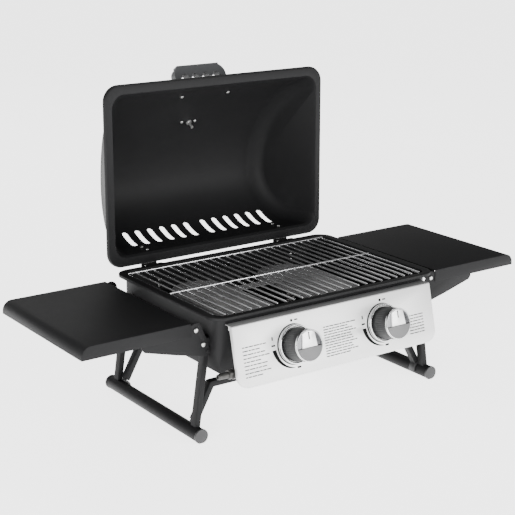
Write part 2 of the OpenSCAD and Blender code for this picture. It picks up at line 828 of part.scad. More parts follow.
module base_brace_front() { base_brace(brace_front); }
module base_brace_rear() { base_brace(brace_back); }

module brace_hangers() {
    color(black) in_frame() for (x = [-150, 150], y = [brace_front + 1.5, brace_back + 1.5])
        translate([x - 8, y, brace_z + brace_t / 2]) cube([16, 12, floor_z - brace_z - brace_t / 2]);
}

// cradles at the ends of the braces, cut round to meet the foot tubes
module brace_pads() {
    reach = foot_dia / 2 + pad_gap;
    color(grey) in_frame() for (s = [-1, 1], y = [brace_front, brace_back]) on_side(s)
        translate([foot_x, 0, foot_z]) difference() {
            along_y(y, y + brace_d) intersection() {
                circle(reach + 4);
                rotate(108) square([40, 40]);
            }
            rod_y(reach, y - 1, y + brace_d + 1);
        }
}

module tray_runners() {
    color(black) in_frame() for (s = [-1, 1]) on_side(s) {
        translate([tray_l / 2 + 0.6, -tray_d / 2, tray_z + 6]) cube([1.2, tray_d, floor_z - tray_z - 6]);
        translate([tray_l / 2 - 5.4, -tray_d / 2, tray_z + 6]) cube([6.2, tray_d, 1.2]);
    }
}

// a shallow tray whose flange hangs on the runners
module grease_tray() {
    flange_z = tray_z + 7.6;
    color(steel) in_frame() difference() {
        union() {
            translate([-tray_l / 2 + 7, -tray_d / 2, tray_z]) cube([tray_l - 14, tray_d, 9]);
            translate([-tray_l / 2 + 0.2, -tray_d / 2, flange_z]) cube([tray_l - 0.4, tray_d, 1.2]);
        }
        translate([-tray_l / 2 + 8, -tray_d / 2 + 1, tray_z + 1]) cube([tray_l - 16, tray_d - 2, 20]);
    }
}

// ---- grate ----
// how far a wire at x can run towards the tub's rounded corner
function wire_reach(x) =
    let (r = tub_r - sheet, over = max(0, abs(x) + wire_dia / 2 - tub_l / 2 + tub_r))
    tub_d / 2 - tub_r + sqrt(r * r - over * over) - 0.5;

module grate() {
    pitch = 2 * grate_x / (wires - 1);
    color(chrome) in_frame() {
        for (x = [-grate_x:pitch:grate_x + 1]) translate([x, 0, grate_z])
            rod_y(wire_dia / 2, max(grate_front, -wire_reach(x)), min(grate_back, wire_reach(x)));
        for (y = cross_y)
            translate([-cross_half, y, grate_z + wire_dia / 2 + cross_r - 0.5]) rotate([0, 90, 0])
                cylinder(r = cross_r, h = 2 * cross_half);
    }
}

// ---- shelves ----
// a folded tray, open underneath, with a rounded outer edge and two hinge tabs
module shelf(s) {
    low = shelf_top - shelf_h;
    inner_y0 = gusset_front + gusset_t + clear;
    inner_y1 = gusset_back - gusset_t - clear;
    color(black) in_frame() on_side(s) difference() {
        union() {
            difference() {
                along_y(front_y, back_y) shelf_profile(0);
                along_y(front_y + shelf_sheet, back_y - shelf_sheet) shelf_profile(shelf_sheet);
            }
            for (y = [inner_y0, inner_y1 - 1.5]) along_y(y, y + 1.5) {
                translate([shelf_pivot_x, shelf_pivot_z]) circle(tab_r);
                translate([shelf_pivot_x, shelf_pivot_z - tab_r])
                    square([shelf_in - shelf_pivot_x + 8, 2 * tab_r]);
            }
        }
        for (y = [front_y + shelf_sheet, inner_y1])
            translate([shelf_in - 1, y, low - 1])
                cube([shelf_sheet + 1.1, gusset_t + 2 * clear, shelf_h + 1 - shelf_sheet]);
        translate([shelf_pivot_x, 0, shelf_pivot_z])
            rod_y(shelf_pin_r + run, front_y - 1, back_y + 1);
    }
}

module shelf_profile(inset) {
    low = shelf_top - shelf_h - (inset > 0 ? 1 : 0);
    x0 = shelf_in + inset;
    x1 = shelf_reach - inset;
    top = shelf_top - inset;
    r = shelf_nose_r - inset;
    translate([x0, low]) square([x1 - r - x0, top - low]);
    translate([x1 - r - 0.1, low]) square([r + 0.1, top - r - low]);
    intersection() {
        translate([x1 - r, top - r]) circle(r);
        translate([x0, low]) square([x1 - x0, top - low]);
    }
}

module shelf_left() { shelf(-1); }
module shelf_right() { shelf(1); }

// ---- legs ----
// a foot tube along Y with two box-section posts up to the pivots
module leg(s) {
    color(black) in_frame() on_side(s) difference() {
        union() {
            translate([foot_x, 0, foot_z]) rod_y(foot_dia / 2, foot_front + cap_t, foot_back - cap_t);
            for (y = [post_front, post_back]) translate([leg_pivot_x, y, leg_pivot_z])
                rotate([0, -leg_lean, 0]) {
                    translate([-post_w / 2, 0, -leg_len]) cube([post_w, post_d, leg_len]);
                    rod_y(post_w / 2, 0, post_d);
                }
        }
        translate([foot_x, 0, foot_z]) rod_y(foot_dia / 2 - 1.5, foot_front, foot_back);
        for (y = [post_front, post_back]) translate([leg_pivot_x, y, leg_pivot_z]) {
            rod_y(leg_pin_r + run, -1, post_d + 1);
            rotate([0, -leg_lean, 0]) translate([-post_w / 2 + 1.5, 1.5, -leg_len + 14])
                cube([post_w - 3, post_d - 3, leg_len - 24]);
        }
    }
}

module leg_left() { leg(-1); }
module leg_right() { leg(1); }

// plastic end caps of a foot tube, cut flat underneath
module foot_caps(s) {
    color(black) in_frame() on_side(s) difference() {
        translate([foot_x, 0, foot_z]) {
            rod_y(cap_r, foot_front, foot_front + cap_t);
            rod_y(foot_dia / 2 - 1.5, foot_front + cap_t, foot_front + 12);
            rod_y(cap_r, foot_back - cap_t, foot_back);
            rod_y(foot_dia / 2 - 1.5, foot_back - 12, foot_back - cap_t);
        }
        translate([foot_x - 20, -rim_d, -10]) cube([40, 2 * rim_d, 10]);
    }
}

module foot_caps_left() { foot_caps(-1); }
module foot_caps_right() { foot_caps(1); }

tub();
grate_rests();
heat_plate_left();
heat_plate_right();
heat_plate_bridge();
burner_left();
burner_right();
spark_electrodes();
valve_left();
valve_right();
gas_manifold();
gas_inlet();
control_panel();
knob_bezels();
panel_screws();
valve_screws();
side_rail_left();
side_rail_right();
gussets_left();
gussets_right();
gusset_screws();
shelf_pivot_screws();
leg_pivot_pins();
lower_hinges();
lower_hinge_screws();
base_brace_front();
base_brace_rear();
brace_hangers();
brace_pads();
tray_runners();
lid_shell();
upper_hinges();
upper_hinge_screws();
hinge_pins();
lid_handle();
handle_screws();
thermometer_case();
thermometer_dial();
thermometer_needle();
thermometer_glass();
thermometer_nut();
thermometer_screws();
push_collar_left();
push_collar_right();
knob_left();
knob_right();
knob_cap_left();
knob_cap_right();
valve_stem_left();
valve_stem_right();
grate();
grease_tray();
shelf_left();
shelf_right();
leg_left();
leg_right();
foot_caps_left();
foot_caps_right();
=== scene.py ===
import json
from math import atan2, cos, degrees, pi, radians, sin, sqrt, tan
import bmesh
import bpy
from mathutils import Matrix, Vector

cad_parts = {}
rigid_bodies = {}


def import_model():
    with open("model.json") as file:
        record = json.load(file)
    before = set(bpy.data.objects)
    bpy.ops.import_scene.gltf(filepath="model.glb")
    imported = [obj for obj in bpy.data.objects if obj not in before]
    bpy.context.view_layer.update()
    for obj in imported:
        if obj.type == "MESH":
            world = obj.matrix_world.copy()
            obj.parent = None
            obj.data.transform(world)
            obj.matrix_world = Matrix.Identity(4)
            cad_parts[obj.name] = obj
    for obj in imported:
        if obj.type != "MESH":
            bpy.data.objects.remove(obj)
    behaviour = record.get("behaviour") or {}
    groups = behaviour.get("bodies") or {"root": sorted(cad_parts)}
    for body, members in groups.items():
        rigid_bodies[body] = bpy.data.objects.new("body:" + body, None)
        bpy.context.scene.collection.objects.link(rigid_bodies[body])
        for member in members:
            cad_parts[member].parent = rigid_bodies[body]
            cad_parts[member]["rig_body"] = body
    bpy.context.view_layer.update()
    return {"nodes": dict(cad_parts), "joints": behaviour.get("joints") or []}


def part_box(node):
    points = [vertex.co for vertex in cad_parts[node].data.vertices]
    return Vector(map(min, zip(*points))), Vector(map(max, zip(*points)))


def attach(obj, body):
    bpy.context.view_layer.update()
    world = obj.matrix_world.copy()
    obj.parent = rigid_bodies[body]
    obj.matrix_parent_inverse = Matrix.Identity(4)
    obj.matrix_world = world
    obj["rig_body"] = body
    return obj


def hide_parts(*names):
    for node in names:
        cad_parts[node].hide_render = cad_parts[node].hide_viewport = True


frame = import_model()
joints = {j["name"]: j for j in frame["joints"]}

# ---------------------------------------------------------------------------
# The table and the light.
# The grill stands on a plain pale table top that glows a little, so that shadows stay
# faint, under three wide soft panels of light.
# ---------------------------------------------------------------------------
table_size = 80


class Flow:
    """One value on its way through a finish. Sums written on it become Math nodes."""

    def __init__(self, finish, socket):
        self.finish = finish
        self.socket = socket

    def sum(self, operation, a, b):
        return self.finish.node("ShaderNodeMath", {"operation": operation}, {0: a, 1: b})

    def __add__(self, other):
        return self.sum("ADD", self, other)

    def __radd__(self, other):
        return self.sum("ADD", other, self)

    def __sub__(self, other):
        return self.sum("SUBTRACT", self, other)

    def __rsub__(self, other):
        return self.sum("SUBTRACT", other, self)

    def __mul__(self, other):
        return self.sum("MULTIPLY", self, other)

    def __rmul__(self, other):
        return self.sum("MULTIPLY", other, self)


class Finish:
    """A named material with one Principled shader, its constants set on its own sockets."""

    def __init__(self, name, color, roughness, metallic=0.0, **constants):
        self.material = bpy.data.materials.new(name)
        self.material.use_nodes = True
        self.tree = self.material.node_tree
        self.shader = self.tree.nodes["Principled BSDF"]
        self.shader.inputs["Base Color"].default_value = (*color, 1)
        self.shader.inputs["Roughness"].default_value = roughness
        self.shader.inputs["Metallic"].default_value = metallic
        for socket, value in constants.items():
            self.shader.inputs[socket.replace("_", " ")].default_value = value

    def node(self, kind, settings, inputs, output=0):
        made = self.tree.nodes.new(kind)
        for key, value in settings.items():
            setattr(made, key, value)
        for socket, value in inputs.items():
            if isinstance(value, Flow):
                self.tree.links.new(value.socket, made.inputs[socket])
            else:
                made.inputs[socket].default_value = value
        return Flow(self, made.outputs[output])

    def place(self, stretch=(1, 1, 1)):
        where = self.node("ShaderNodeTexCoord", {}, {}, "Object")
        return self.node("ShaderNodeMapping", {}, {"Vector": where, "Scale": stretch})

    def noise(self, scale, detail=2.0, where=None):
        inputs = {"Vector": where or self.place(), "Scale": scale, "Detail": detail}
        return self.node("ShaderNodeTexNoise", {}, inputs, "Fac")

    def tint(self, amount, dark, light):
        return self.node("ShaderNodeMix", {"data_type": "RGBA"},
                         {0: amount, 6: (*dark, 1), 7: (*light, 1)}, 2)

    def feed(self, socket, flow):
        self.tree.links.new(flow.socket, self.shader.inputs[socket])

    def bump(self, height, strength, distance):
        normal = self.node("ShaderNodeBump", {},
                           {"Height": height, "Strength": strength, "Distance": distance})
        self.feed("Normal", normal)


table_finish = Finish("pale_table", (0.9, 0.9, 0.9), 0.8, Emission_Strength=3.4)
table_cloud = table_finish.tint(table_finish.noise(3.0), (0.89, 0.89, 0.89), (0.91, 0.91, 0.91))
table_finish.feed("Base Color", table_cloud)
table_finish.feed("Emission Color", table_cloud)


def finished(name, bm, finish, body=None, nodes=(), smooth=35):
    """Turns a bmesh into a named piece with its finish and body, and hides the nodes it stands for."""
    mesh = bpy.data.meshes.new(name)
    bm.to_mesh(mesh)
    bm.free()
    mesh.shade_smooth()
    mesh.set_sharp_from_angle(angle=radians(smooth))
    mesh.materials.clear()
    mesh.materials.append(finish.material)
    for face in mesh.polygons:
        face.material_index = 0
    piece = bpy.data.objects.new(name, mesh)
    bpy.context.scene.collection.objects.link(piece)
    if body:
        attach(piece, body)
    if nodes:
        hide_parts(*nodes)
    return piece


bm = bmesh.new()
bmesh.ops.create_grid(bm, x_segments=2, y_segments=2, size=table_size / 2)
finished("table_top", bm, table_finish)

world = bpy.data.worlds.new("studio")
bpy.context.scene.world = world
world.use_nodes = True
world.node_tree.nodes["Background"].inputs["Color"].default_value = (1, 1, 1, 1)
world.node_tree.nodes["Background"].inputs["Strength"].default_value = 0.3

for name, place, aim, size, power in (
        ("key_light", (-3.0, -2.0, 1.1), (0, 0, 0.25), 2.0, 130),
        ("fill_light", (1.4, -3.2, 0.9), (0, 0, 0.25), 1.8, 90),
        ("back_light", (0.5, 2.6, 2.4), (0, 0, 0.3), 2.2, 22)):
    light = bpy.data.lights.new(name, "AREA")
    light.size = size
    light.energy = power
    lamp = bpy.data.objects.new(name, light)
    lamp.location = place
    lamp.rotation_euler = (Vector(aim) - Vector(place)).to_track_quat("-Z", "Y").to_euler()
    bpy.context.scene.collection.objects.link(lamp)

camera = bpy.data.objects.new("camera", bpy.data.cameras.new("camera"))
camera.location = (-1.4018, -1.9793, 0.9369)
camera.rotation_euler = (radians(90 - 13.728), 0, radians(-35.132))
camera.data.lens = 92.33
camera.data.shift_y = -0.1
bpy.context.scene.collection.objects.link(camera)
bpy.context.scene.camera = camera

# ---------------------------------------------------------------------------
# The firebox tub.
# One deep-drawn sheet of steel with a flange and a rolled-down lip, powder coated
# matte black all over with a fine orange-peel texture.
# ---------------------------------------------------------------------------
black_coat = Finish("black_powder_coat", (0.009, 0.009, 0.0095), 0.5, Specular_IOR_Level=0.13)
coat_grain = black_coat.noise(900, 3.0)
coat_cloud = black_coat.noise(9, 2.0)
coat_color = black_coat.tint(coat_cloud, (0.008, 0.008, 0.0085), (0.0115, 0.0115, 0.012))
black_coat.feed("Base Color", coat_color)
black_coat.feed("Roughness", 0.44 + coat_grain * 0.1 + coat_cloud * 0.06)
black_coat.bump(coat_grain, 0.35, 0.0004)


def merged(node):
    """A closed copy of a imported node's mesh, with its flat faces whole again."""
    bm = bmesh.new()
    bm.from_mesh(frame["nodes"][node].data)
    bmesh.ops.remove_doubles(bm, verts=bm.verts, dist=0.000002)
    bmesh.ops.dissolve_limit(bm, angle_limit=radians(0.6), verts=bm.verts, edges=bm.edges)
    return bm


def eased(node, finish, width, segments=2, corner=40):
    """A node's own shape with its sharp edges broken, as coating and tumbling leave them."""
    bm = merged(node)
    sharp = [e for e in bm.edges if len(e.link_faces) == 2 and e.calc_face_angle(0) > radians(corner)]
    bmesh.ops.bevel(bm, geom=sharp, offset=width, offset_type="OFFSET", segments=segments,
                    profile=0.5, affect="EDGES", material=-1, clamp_overlap=True)
    body = frame["nodes"][node]["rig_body"]
    return finished(node + "_finished", bm, finish, body, (node,))


eased("tub", black_coat, 0.0009)
eased("grate_rests", black_coat, 0.0003)

# ---------------------------------------------------------------------------
# Heat plates and burners.
# Folded satin steel covers, rounded at the back and slotted along their slopes,
# stand over two tube burners with a strip between them that carries the flame across.
# ---------------------------------------------------------------------------
plate_steel = Finish("heat_plate_steel", (0.42, 0.42, 0.43), 0.42, 0.6)
plate_cloud = plate_steel.noise(22, 3.0)
plate_rub = plate_steel.noise(500, 2.0, plate_steel.place((1, 0.06, 1)))
plate_steel.feed("Base Color", plate_steel.tint(plate_cloud, (0.36, 0.36, 0.37), (0.5, 0.495, 0.49)))
plate_steel.feed("Roughness", 0.36 + plate_rub * 0.16)
plate_steel.bump(plate_rub, 0.15, 0.0003)

for node in ("heat_plate_left", "heat_plate_right", "heat_plate_bridge"):
    eased(node, plate_steel, 0.0002, 1)

burner_steel = Finish("burner_steel", (0.34, 0.33, 0.32), 0.38, 0.9)
burner_heat = burner_steel.noise(35, 3.0)
burner_steel.feed("Base Color", burner_steel.tint(burner_heat, (0.25, 0.22, 0.2), (0.42, 0.42, 0.42)))
burner_steel.feed("Roughness", 0.32 + burner_heat * 0.2)
for node in ("burner_left", "burner_right", "gas_manifold"):
    eased(node, burner_steel, 0.0003, 1)

ceramic = Finish("electrode_ceramic", (0.8, 0.78, 0.72), 0.25)
ceramic_soot = ceramic.noise(60, 3.0)
ceramic.feed("Base Color", ceramic.tint(ceramic_soot, (0.6, 0.57, 0.5), (0.85, 0.84, 0.8)))
eased("spark_electrodes", ceramic, 0.0003, 2)

# ---------------------------------------------------------------------------
# Gas valves and inlet.
# Machined brass bodies hang behind the panel on two screws each; a darkened hose
# tail with two hexagon nuts leaves the manifold at the left end.
# ---------------------------------------------------------------------------
brass = Finish("valve_brass", (0.62, 0.46, 0.2), 0.3, 1.0)
brass_turning = brass.noise(260, 2.0)
brass.feed("Roughness", 0.24 + brass_turning * 0.14)
brass.bump(brass_turning, 0.1, 0.0002)
dark_brass = Finish("hose_tail_brass", (0.1, 0.095, 0.085), 0.4, 0.8)
tarnish = dark_brass.noise(180, 3.0)
dark_brass.feed("Base Color", dark_brass.tint(tarnish, (0.04, 0.039, 0.038), (0.09, 0.088, 0.084)))
dark_brass.feed("Roughness", 0.3 + tarnish * 0.25)
for node in ("valve_left", "valve_right", "push_collar_left", "push_collar_right"):
    eased(node, brass, 0.0003, 1)
eased("gas_inlet", dark_brass, 0.0005, 2)

# ---------------------------------------------------------------------------
# The control panel.
# Stainless sheet with a fine brushed grain, folded back at its top and sides. Dial
# marks beside each knob and blocks of unreadable lines are printed in black enamel.
# ---------------------------------------------------------------------------
panel_steel = Finish("brushed_panel_steel", (0.74, 0.74, 0.735), 0.4, 0.45)
brushing = panel_steel.noise(700, 3.0, panel_steel.place((0.02, 1, 1)))
panel_cloud = panel_steel.noise(7, 2.0)
face_color = panel_steel.tint(brushing, (0.77, 0.77, 0.765), (0.84, 0.84, 0.835))
# Painted reflection: the top 1.3 mm of the panel face, along its fold, is coloured dark grey to stand
# in for the darker surroundings it reflects.
height = panel_steel.node("ShaderNodeSeparateXYZ", {}, {0: panel_steel.place()}, "Z")
painted_reflection_band = 0.0013
painted_reflection_mask = height.sum("GREATER_THAN", height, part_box("control_panel")[1].z - painted_reflection_band)
painted_reflection_color = panel_steel.node("ShaderNodeMix", {"data_type": "RGBA"},
                              {0: painted_reflection_mask, 6: face_color, 7: (0.4, 0.4, 0.4, 1)}, 2)
panel_steel.feed("Base Color", painted_reflection_color)
panel_steel.feed("Roughness", 0.36 + brushing * 0.1 + panel_cloud * 0.05)
panel_steel.bump(brushing, 0.08, 0.0002)
eased("control_panel", panel_steel, 0.0005, 2)

# Black enamel for the printed dial marks and lines; the same black also paints the shadow ring round
# each bezel.
print_and_shadow_black = Finish("print_and_painted_shadow_black", (0.003, 0.003, 0.003), 0.6, Specular_IOR_Level=0.08)
enamel_grain = print_and_shadow_black.noise(700)
print_and_shadow_black.feed("Roughness", 0.54 + enamel_grain * 0.14)


def knob_frame(side):
    """The knob's own axes: Z out of the panel, Y up along it, origin on the panel's face."""
    turn = joints[f"knob_{side}_turn"]
    out = Vector(turn["axis"])
    across = Vector((1, 0, 0))
    up = out.cross(across)
    spin = Matrix((across, up, out)).transposed().to_4x4()
    return Matrix.Translation(Vector(turn["pos_m"])) @ spin


mark_thick = 0.00015
arc_steps = 20
line_blocks = {"left": ((-0.108, 0.0136, 9, 0.0064, 0.048), (0.066, 0.0164, 12, 0.00475, 0.072)),
               "right": ((0.062, 0.0, 7, 0.0055, 0.036),)}


def crescent(bm, radius_thick, radius_thin, thick):
    """A flame-size mark: thick at nine o'clock, tapering to a point below the knob."""
    rows = []
    for i in range(arc_steps + 1):
        t = i / arc_steps
        angle = radians(184 + 80 * t)
        outer = radius_thick + (radius_thin - radius_thick) * t
        inner = outer - thick * (1 - t) ** 0.8 - 0.0005
        rows.append([bm.verts.new((r * cos(angle), r * sin(angle), mark_thick))
                     for r in (outer, inner)])
    for (a, b), (c, d) in zip(rows, rows[1:]):
        bmesh.ops.contextual_create(bm, geom=[a, b, c, d])


def printed_bar(bm, x, y, width, height):
    made = bmesh.ops.create_grid(bm, x_segments=1, y_segments=1, size=0.5)
    bmesh.ops.scale(bm, vec=(width, height, 1), verts=made["verts"])
    bmesh.ops.translate(bm, vec=(x, y, mark_thick), verts=made["verts"])


for side in ("left", "right"):
    bm = bmesh.new()
    crescent(bm, 0.0475, 0.041, 0.0078)
    printed_bar(bm, -0.0448, 0.0175, 0.0026, 0.0062)
    printed_bar(bm, -0.0442, 0.0052, 0.0078, 0.0028)
    printed_bar(bm, 0.0045, -0.0412, 0.0078, 0.0032)
    printed_bar(bm, 0.0098, 0.0418, 0.0072, 0.0024)
    for left, top, rows, pitch, longest in line_blocks[side]:
        for row in range(rows):
            reach = longest * (1 - 0.28 * ((row * 5) % 7) / 6)
            x = left
            word = 0
            while x < left + reach:
                width = 0.0045 + 0.0022 * ((row * 3 + word * 5) % 4)
                printed_bar(bm, x + width / 2, top - pitch * row, width, 0.0017)
                x += width + 0.0014
                word += 1
    made = bmesh.ops.create_circle(bm, cap_ends=True, segments=20, radius=0.0026)
    bmesh.ops.translate(bm, vec=(0, 0.0418, mark_thick), verts=made["verts"])
    grown = bmesh.ops.extrude_face_region(bm, geom=bm.faces[:])
    lifted = [v for v in grown["geom"] if isinstance(v, bmesh.types.BMVert)]
    bmesh.ops.translate(bm, vec=(0, 0, -mark_thick), verts=lifted)
    bmesh.ops.recalc_face_normals(bm, faces=bm.faces[:])
    bmesh.ops.transform(bm, matrix=knob_frame(side), verts=bm.verts[:])
    finished(f"dial_marks_{side}", bm, print_and_shadow_black, "firebox")

# ---------------------------------------------------------------------------
# Bezels, knobs and their caps.
# Each knob is a ribbed barrel of dark moulded plastic inside a chromed bezel, ringed on the
# panel by a thin black line of painted shadow. Its cap has a rim, a satin half-moon and a polished bar
# with a black line.
# ---------------------------------------------------------------------------
chrome = Finish("bright_chrome", (0.66, 0.665, 0.67), 0.09, 1.0)
chrome_haze = chrome.noise(40, 3.0)
chrome.feed("Roughness", 0.06 + chrome_haze * 0.09)


def ring_of(bm, profile, steps, matrix):
    """Spins a profile of (radius, height) points round Z into a closed form."""
    verts = [bm.verts.new((r, 0, z)) for r, z in profile]
    edges = [bm.edges.new(pair) for pair in zip(verts, verts[1:])]
    bmesh.ops.spin(bm, geom=verts + edges, cent=(0, 0, 0), axis=(0, 0, 1), dvec=(0, 0, 0),
                   angle=2 * pi, steps=steps, use_merge=True, use_duplicate=False)
    bmesh.ops.remove_doubles(bm, verts=bm.verts[:], dist=0.000002)
    bmesh.ops.recalc_face_normals(bm, faces=bm.faces[:])
    bmesh.ops.transform(bm, matrix=matrix, verts=bm.verts[:])


bezel_in = 0.0312
bezel_out = 0.035
for side in ("left", "right"):
    bm = bmesh.new()
    profile = [(bezel_in, 0.0001), (bezel_out, 0.0001), (bezel_out, 0.0048)]
    for i in range(1, 10):
        angle = pi * i / 10
        middle = (bezel_in + bezel_out) / 2
        profile.append((middle + cos(angle) * (bezel_out - middle), 0.0052 + 0.0037 * sin(angle)))
    profile.append((bezel_in, 0.0048))
    profile.append((bezel_in, 0.0001))
    ring_of(bm, profile, 96, knob_frame(side))
    finished(f"bezel_{side}", bm, chrome, "firebox", ("knob_bezels",))
    # Painted shadow: a thin black ring on the panel round the bezel's foot stands in for the shadow
    # line there.
    bm = bmesh.new()
    ring_of(bm, [(0.0345, 0.0001), (0.0361, 0.0001), (0.0359, 0.0012), (0.0345, 0.0014),
                 (0.0345, 0.0001)], 96, knob_frame(side))
    finished(f"bezel_painted_shadow_ring_{side}", bm, print_and_shadow_black, "firebox")

knob_plastic = Finish("knob_plastic", (0.018, 0.0185, 0.019), 0.45, Specular_IOR_Level=0.35)
knob_grain = knob_plastic.noise(1300, 2.0)
knob_plastic.feed("Roughness", 0.36 + knob_grain * 0.14)
knob_plastic.bump(knob_grain, 0.2, 0.0002)
ribs = 48
rib_foot, rib_deep = 0.0275, 0.0009
for side in ("left", "right"):
    bm = bmesh.new()
    profile = [(0, 0.0405), (0.0262, 0.0405), (0.0276, 0.0402), (0.028, 0.0396), (0.0287, 0.030),
               (0.0293, 0.018), (0.0298, 0.0075), (0.0297, 0.0055), (0.029, 0.0048), (0.0268, 0.0048),
               (0.026, 0.0056), (0.026, 0.034), (0.007, 0.034), (0.007, 0.0048), (0.003, 0.0048),
               (0.003, 0.028), (0, 0.028)]
    ring_of(bm, profile, 2 * ribs, Matrix.Identity(4))
    for v in bm.verts:
        radius = sqrt(v.co.x ** 2 + v.co.y ** 2)
        if radius > rib_foot:
            step = round(degrees(atan2(v.co.y, v.co.x)) / (180 / ribs))
            if step % 2:
                v.co.x *= 1 - rib_deep / radius
                v.co.y *= 1 - rib_deep / radius
    bmesh.ops.transform(bm, matrix=knob_frame(side), verts=bm.verts[:])
    finished(f"knob_{side}_barrel", bm, knob_plastic, f"knob_{side}",
             (f"knob_{side}",), smooth=50)

cap_satin = Finish("satin_chrome", (0.13, 0.13, 0.132), 0.45, 0.2, Specular_IOR_Level=0.3)
satin_haze = cap_satin.noise(500, 3.0)
cap_satin.feed("Roughness", 0.34 + satin_haze * 0.14)
cap_bright = Finish("polished_cap_face", (0.93, 0.93, 0.93), 0.22, 0.3)
cap_bright.feed("Roughness", 0.18 + cap_bright.noise(300) * 0.1)
# Painted shade: the cap's recess floor is a darkened copy of the chrome, standing in for the shade
# between the bar, the half-moon and the rim.
recess_painted_shade = Finish("recess_painted_shade_chrome", (0.12, 0.12, 0.125), 0.2, 0.9)
recess_painted_shade.feed("Roughness", 0.16 + recess_painted_shade.noise(300) * 0.1)


def cut_disc(bm, radius, low, high, cuts, ease):
    """A flat block cut from a disc by lines, each a point and the direction that goes."""
    bmesh.ops.create_circle(bm, cap_ends=True, segments=96, radius=radius)
    for point, away in cuts:
        bmesh.ops.bisect_plane(bm, geom=bm.verts[:] + bm.edges[:] + bm.faces[:], dist=1e-7,
                               plane_co=(*point, 0), plane_no=(*away, 0), clear_outer=True)
    bmesh.ops.translate(bm, vec=(0, 0, low), verts=bm.verts[:])
    grown = bmesh.ops.extrude_face_region(bm, geom=bm.faces[:])
    raised = [v for v in grown["geom"] if isinstance(v, bmesh.types.BMVert)]
    bmesh.ops.translate(bm, vec=(0, 0, high - low), verts=raised)
    bmesh.ops.recalc_face_normals(bm, faces=bm.faces[:])
    top = [e for e in bm.edges if all(v.co.z > high - 1e-6 for v in e.verts)]
    bmesh.ops.bevel(bm, geom=top, offset=ease, offset_type="OFFSET", segments=3, profile=0.5,
                    affect="EDGES", material=-1)


moon_cuts = (((0, -0.003), (0, 1)),)
bar_cuts = (((0, -0.0032), (0, -1)), ((0.016, -0.004), (32, 4)), ((-0.016, -0.004), (-32, 4)))
for side in ("left", "right"):
    at_knob = knob_frame(side)
    body = f"knob_{side}"
    bm = bmesh.new()
    ring_of(bm, [(0.0258, 0.041), (0.0274, 0.041), (0.028, 0.0416), (0.028, 0.0450), (0.0277, 0.0457),
                 (0.027, 0.046), (0.0262, 0.0457), (0.0258, 0.0450), (0.0258, 0.041)], 96, at_knob)
    piece = finished(f"cap_rim_{side}", bm, chrome, body, (f"knob_cap_{side}",))
    # The recess carries the darkened chrome of painted shade.
    for part, finish, radius, low, high, cuts, ease in (
            ("recess", recess_painted_shade, 0.0259, 0.041, 0.0437, (), 0.0001),
            ("half_moon", cap_satin, 0.0262, 0.0436, 0.0474, moon_cuts, 0.0007),
            ("bar", cap_bright, 0.0255, 0.0436, 0.0466, bar_cuts, 0.0007)):
        bm = bmesh.new()
        cut_disc(bm, radius, low, high, cuts, ease)
        bmesh.ops.transform(bm, matrix=at_knob, verts=bm.verts[:])
        finished(f"cap_{part}_{side}", bm, finish, body, (f"knob_cap_{side}",))
    bm = bmesh.new()
    bmesh.ops.create_cube(bm, size=1)
    bmesh.ops.scale(bm, vec=(0.0021, 0.013, 0.0004), verts=bm.verts)
    bmesh.ops.translate(bm, vec=(0, 0.0172, 0.0467), verts=bm.verts)
    bmesh.ops.transform(bm, matrix=at_knob, verts=bm.verts[:])
    finished(f"pointer_line_{side}", bm, print_and_shadow_black, body)

# ---------------------------------------------------------------------------
# The lid.
# A rolled barrel with drafted end walls, drawn with soft creases where they meet,
# a flat flange with an upturned lip, and a row of steam slots low on its back.
# ---------------------------------------------------------------------------
hinge = Vector(joints["lid_hinge"]["pos_m"])
lid_sheet = 0.0015
flange_z = hinge.z + 0.005 + lid_sheet
flange_back = hinge.y - 0.006
flange_half = Vector((0.25, 0.1735))
flange_mid = flange_back - flange_half.y
flange_r = 0.029
wall_x = 0.237
wall_back = flange_back - 0.019
back_r = 0.108
barrel_y = wall_back - back_r
back_h = 0.0415
front_r = 0.213
front_h = -0.0635
draft = tan(radians(17.5))
crease_r = 0.027
lip_h = 0.0075
foot_h = 0.004
wall_front = barrel_y - sqrt(front_r ** 2 - (foot_h - front_h) ** 2)
swing = Matrix.Rotation(radians(-90), 4, "X")
open_lid = Matrix.Translation(hinge) @ swing @ Matrix.Translation(-hinge)


foot_core = Vector((wall_x - draft * foot_h - crease_r, (wall_back - wall_front) / 2 - crease_r))
flange_core = flange_half - Vector((flange_r, flange_r))


def flange_point(v, inset, height):
    """Where a point of the wall's foot goes on the flange, inset from the flange's edge."""
    spot = Vector((v.x, v.y - (wall_back + wall_front) / 2))
    core = Vector([max(-c, min(c, p)) for c, p in zip(foot_core, spot)])
    away = (spot - core).normalized()
    spread = Vector([p * b / a for p, a, b in zip(core, foot_core, flange_core)])
    moved = spread + away * (flange_r - inset)
    return Vector((moved.x, flange_mid + moved.y, flange_z + height))


bm = bmesh.new()
start = bm.verts.new((-wall_x, wall_back, flange_z + foot_h))
chain = [start]
for h in (0.015, 0.028, back_h):
    grown = bmesh.ops.extrude_vert_indiv(bm, verts=[chain[-1]])
    grown["verts"][0].co.z = flange_z + h
    chain.append(grown["verts"][0])
turned = bmesh.ops.spin(bm, geom=[chain[-1]], cent=(0, barrel_y, flange_z + back_h), axis=(1, 0, 0),
                        dvec=(0, 0, 0), angle=pi / 2, steps=16, use_merge=False, use_duplicate=False)
apex = [v for v in turned["geom_last"] if isinstance(v, bmesh.types.BMVert)]
end_turn = atan2(sqrt(front_r ** 2 - (foot_h - front_h) ** 2), foot_h - front_h)
bmesh.ops.spin(bm, geom=apex, cent=(0, barrel_y, flange_z + front_h), axis=(1, 0, 0),
               dvec=(0, 0, 0), angle=end_turn, steps=26, use_merge=False, use_duplicate=False)
swept = bmesh.ops.extrude_edge_only(bm, edges=bm.edges[:])
far = [v for v in swept["geom"] if isinstance(v, bmesh.types.BMVert)]
